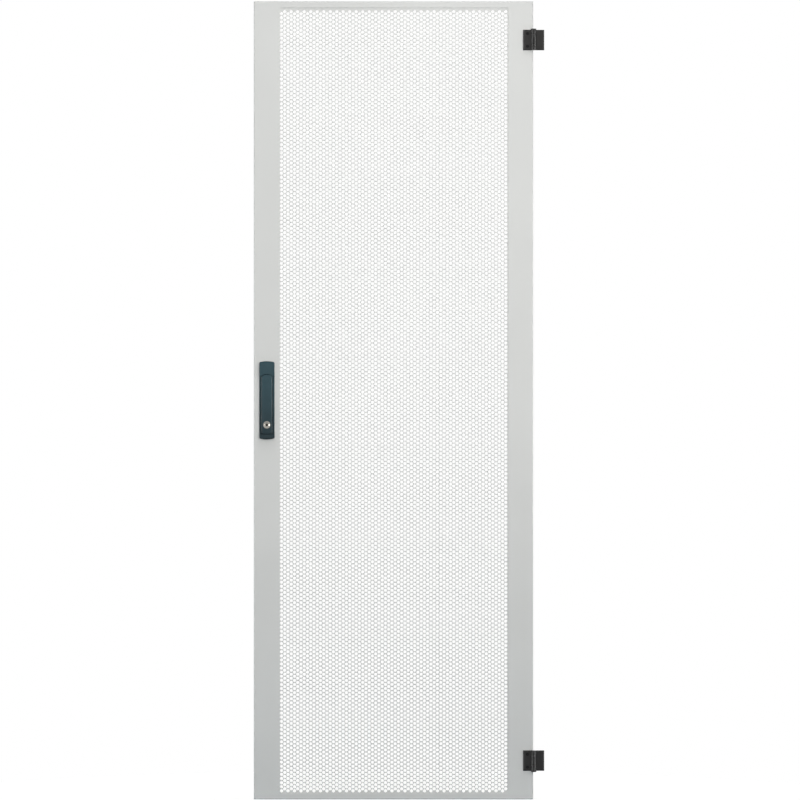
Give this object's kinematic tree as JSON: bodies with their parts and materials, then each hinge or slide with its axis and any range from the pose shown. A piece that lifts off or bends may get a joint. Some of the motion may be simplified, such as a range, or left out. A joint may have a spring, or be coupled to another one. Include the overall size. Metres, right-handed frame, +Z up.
{
  "type": "perforated rack door",
  "caption": "Full-height perforated rack door with a recessed swing handle, a rod lock behind it and surface hinges at the right-hand edge.",
  "frame": {"origin": "lower hinge: midway between the two fixing holes of its frame leaf, on the front surface of the rack it is screwed to", "axes": "+Z up along the hinge pins, front of the door faces -Y, hinges at the +X edge and handle at the -X edge"},
  "size_m": [0.7275, 0.044, 2],
  "materials": {
    "powder_coat": "light grey powder coat, fine orange peel, semi-matt",
    "zinc_steel": "bright zinc plating",
    "black_cast": "black powder-coated zinc casting",
    "black_steel": "black oxide",
    "petrol_coat": "dark grey-blue powder coat on a zinc casting, satin",
    "dark_plastic": "moulded, fine grain",
    "nickel": "satin nickel plate",
    "black_rubber": "matt"
  },
  "bodies": {
    "rack_side": {"lower_hinge_frame_leaf": "black_cast", "upper_hinge_frame_leaf": "black_cast", "lower_hinge_pin": "zinc_steel", "upper_hinge_pin": "zinc_steel"},
    "door": {"door_frame": "powder_coat", "perforated_panel": "powder_coat", "lock_side_stiffener": "zinc_steel", "hinge_side_stiffener": "zinc_steel", "lower_hinge_door_leaf": "black_cast", "upper_hinge_door_leaf": "black_cast", "hinge_backing_plates": "zinc_steel", "hinge_screws": "black_steel", "handle_dish": "petrol_coat", "dish_hood": "petrol_coat", "dish_foot": "petrol_coat", "handle_gasket": "black_rubber", "handle_clamps": "dark_plastic", "handle_screws": "zinc_steel", "gearbox_case": "zinc_steel", "gearbox_cover": "zinc_steel", "gearbox_screws": "zinc_steel", "rod_guides": "dark_plastic", "guide_studs": "zinc_steel", "guide_nuts": "zinc_steel", "earth_stud": "zinc_steel", "earth_washer": "zinc_steel", "earth_nut": "zinc_steel", "door_buffers": "black_rubber"},
    "handle_hub": {"lever_hub": "zinc_steel", "lock_pinion": "zinc_steel", "pinion_washer": "zinc_steel", "pinion_screw": "zinc_steel"},
    "lever": {"swing_lever": "petrol_coat", "lever_pivot_pin": "zinc_steel", "lock_barrel": "nickel", "lock_cover": "dark_plastic", "lock_cover_screws": "zinc_steel"},
    "key_cylinder": {"key_plug": "nickel"},
    "bolt": {"lock_bolt": "zinc_steel"},
    "upper_rod": {"upper_rod": "zinc_steel"},
    "lower_rod": {"lower_rod": "zinc_steel"}
  },
  "joints": [
    {"name": "door_hinge", "type": "hinge", "parent": "rack_side", "child": "door", "pos_m": [-0.0155, -0.007, 0], "axis": [0, 0, 1], "range_deg": [0, 180]},
    {"name": "lever_swing", "type": "hinge", "parent": "door", "child": "handle_hub", "pos_m": [-0.6835, -0.009, 0.949], "axis": [0, -1, 0], "range_deg": [0, 90]},
    {"name": "lever_lift", "type": "hinge", "parent": "handle_hub", "child": "lever", "pos_m": [-0.6835, -0.009, 0.949], "axis": [-1, 0, 0], "range_deg": [0, 20]},
    {"name": "key_turn", "type": "hinge", "parent": "lever", "child": "key_cylinder", "pos_m": [-0.6835, -0.012, 0.841], "axis": [0, 1, 0], "range_deg": [0, 90]},
    {"name": "bolt_shoot", "type": "slide", "parent": "lever", "child": "bolt", "axis": [0, 0, -1], "range_m": [0, 0.005]},
    {"name": "upper_rod_slide", "type": "slide", "parent": "door", "child": "upper_rod", "axis": [0, 0, -1], "range_m": [0, 0.01414]},
    {"name": "lower_rod_slide", "type": "slide", "parent": "door", "child": "lower_rod", "axis": [0, 0, 1], "range_m": [0, 0.01414]}
  ],
  "couplings": [
    {"joint": "key_turn", "follows": "bolt_shoot", "rad_per_m": 314.16},
    {"joint": "upper_rod_slide", "follows": "lever_swing", "m_per_rad": 0.009},
    {"joint": "lower_rod_slide", "follows": "lever_swing", "m_per_rad": 0.009}
  ]
}
